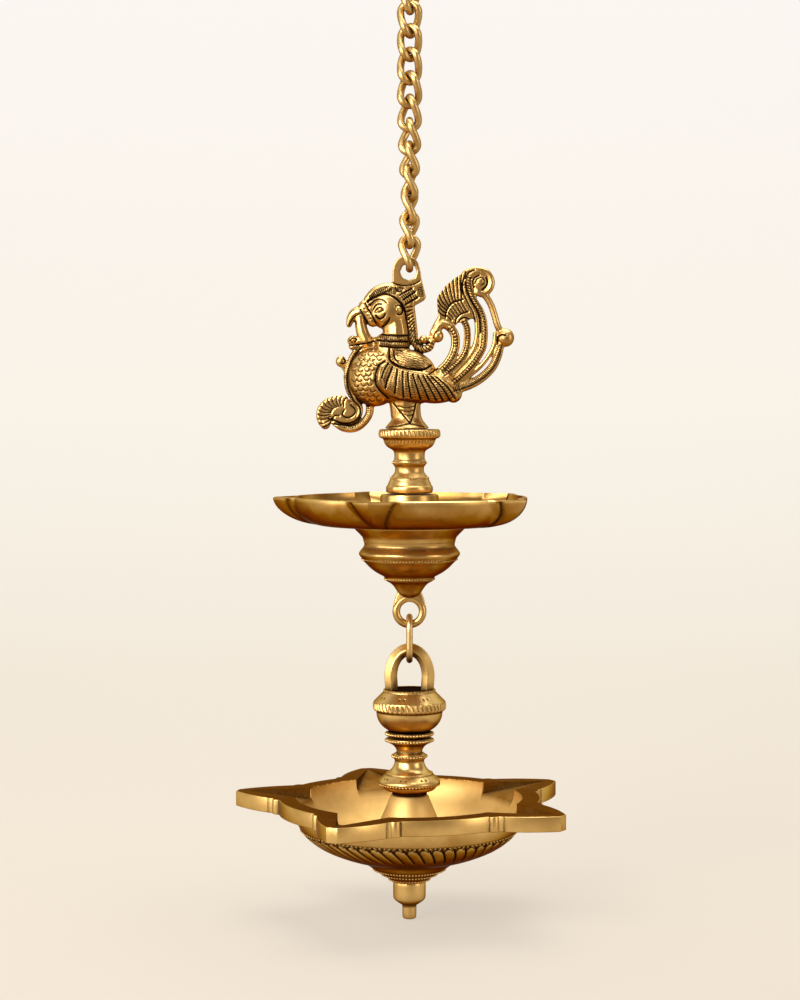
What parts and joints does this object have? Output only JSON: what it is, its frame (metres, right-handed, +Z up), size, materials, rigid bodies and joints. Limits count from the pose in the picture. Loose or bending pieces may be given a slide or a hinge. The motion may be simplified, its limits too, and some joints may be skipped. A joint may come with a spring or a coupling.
{
  "type": "hanging chain oil lamp",
  "caption": "Brass hanging oil lamp: twisted chain, bird on a pedestal, spouted upper dish, joining ring, and a spouted lower pan on a turned stem with a drop finial.",
  "frame": {"origin": "centre of the hook's bow, where the lamp hangs", "axes": "+Z up along the lamp's line; the bird looks along -X and is seen from -Y"},
  "size_m": [0.157, 0.1624, 0.4821],
  "materials": {
    "polished_brass": "turned and polished cast brass, brown patina left in the beads and grooves",
    "antique_brass": "cast brass, chased lines and hollows darkened, high places rubbed bright",
    "chain_brass": "drawn brass wire, bent, tumbled and lightly darkened",
    "stud_steel": "plain threaded rod"
  },
  "bodies": {
    "hook": {"hanging_hook": "chain_brass"},
    "link_01": {"chain_link_01": "chain_brass"},
    "link_02": {"chain_link_02": "chain_brass"},
    "link_03": {"chain_link_03": "chain_brass"},
    "link_04": {"chain_link_04": "chain_brass"},
    "link_05": {"chain_link_05": "chain_brass"},
    "link_06": {"chain_link_06": "chain_brass"},
    "link_07": {"chain_link_07": "chain_brass"},
    "link_08": {"chain_link_08": "chain_brass"},
    "link_09": {"chain_link_09": "chain_brass"},
    "link_10": {"chain_link_10": "chain_brass"},
    "link_11": {"chain_link_11": "chain_brass"},
    "link_12": {"chain_link_12": "chain_brass"},
    "bird": {"bird": "antique_brass", "bird_pedestal": "polished_brass"},
    "upper_lamp": {"upper_dish": "polished_brass", "upper_stud": "stud_steel", "hanger_boss": "polished_brass"},
    "ring": {"joining_ring": "chain_brass"},
    "knop": {"loop_knop": "polished_brass"},
    "lower_lamp": {"beaded_washer": "polished_brass", "stem": "polished_brass", "lower_pan": "polished_brass", "lower_stud": "stud_steel", "bottom_finial": "polished_brass"}
  },
  "joints": [
    {"name": "link_01_swing", "type": "hinge", "parent": "hook", "child": "link_01", "pos_m": [0, 0, -0.0191], "axis": [-1, 0, 0], "range_deg": [-25, 25]},
    {"name": "link_02_swing", "type": "hinge", "parent": "link_01", "child": "link_02", "pos_m": [0, 0, -0.0341], "axis": [-0.2588, -0.9659, 0], "range_deg": [-25, 25]},
    {"name": "link_03_swing", "type": "hinge", "parent": "link_02", "child": "link_03", "pos_m": [0, 0, -0.0413], "axis": [-0.866, 0.5, 0], "range_deg": [-25, 25]},
    {"name": "link_04_swing", "type": "hinge", "parent": "link_03", "child": "link_04", "pos_m": [0, 0, -0.0563], "axis": [-0.7071, -0.7071, 0], "range_deg": [-25, 25]},
    {"name": "link_05_swing", "type": "hinge", "parent": "link_04", "child": "link_05", "pos_m": [0, 0, -0.0635], "axis": [-0.5, 0.866, 0], "range_deg": [-25, 25]},
    {"name": "link_06_swing", "type": "hinge", "parent": "link_05", "child": "link_06", "pos_m": [0, 0, -0.0785], "axis": [-0.9659, -0.2588, 0], "range_deg": [-25, 25]},
    {"name": "link_07_swing", "type": "hinge", "parent": "link_06", "child": "link_07", "pos_m": [0, 0, -0.0857], "axis": [0, 1, 0], "range_deg": [-25, 25]},
    {"name": "link_08_swing", "type": "hinge", "parent": "link_07", "child": "link_08", "pos_m": [0, 0, -0.1007], "axis": [-0.9659, 0.2588, 0], "range_deg": [-25, 25]},
    {"name": "link_09_swing", "type": "hinge", "parent": "link_08", "child": "link_09", "pos_m": [0, 0, -0.1079], "axis": [0.5, 0.866, 0], "range_deg": [-25, 25]},
    {"name": "link_10_swing", "type": "hinge", "parent": "link_09", "child": "link_10", "pos_m": [0, 0, -0.1229], "axis": [-0.7071, 0.7071, 0], "range_deg": [-25, 25]},
    {"name": "link_11_swing", "type": "hinge", "parent": "link_10", "child": "link_11", "pos_m": [0, 0, -0.1301], "axis": [0.866, 0.5, 0], "range_deg": [-25, 25]},
    {"name": "link_12_swing", "type": "hinge", "parent": "link_11", "child": "link_12", "pos_m": [0, 0, -0.1451], "axis": [-0.2588, 0.9659, 0], "range_deg": [-25, 25]},
    {"name": "bird_swing", "type": "hinge", "parent": "link_12", "child": "bird", "pos_m": [0, 0, -0.1562], "axis": [0, 1, 0], "range_deg": [-30, 30]},
    {"name": "upper_dish_turn", "type": "hinge", "parent": "bird", "child": "upper_lamp", "pos_m": [0, 0, -0.2639], "axis": [0, 0, 1], "range_deg": [-180, 180]},
    {"name": "ring_swing", "type": "hinge", "parent": "upper_lamp", "child": "ring", "pos_m": [0, 0, -0.32305], "axis": [0, 1, 0], "range_deg": [-45, 45]},
    {"name": "knop_swing", "type": "hinge", "parent": "ring", "child": "knop", "pos_m": [0, 0, -0.339], "axis": [1, 0, 0], "range_deg": [-45, 45]},
    {"name": "lower_lamp_turn", "type": "hinge", "parent": "knop", "child": "lower_lamp", "pos_m": [0, 0, -0.3786], "axis": [0, 0, 1], "range_deg": [-180, 180]}
  ]
}
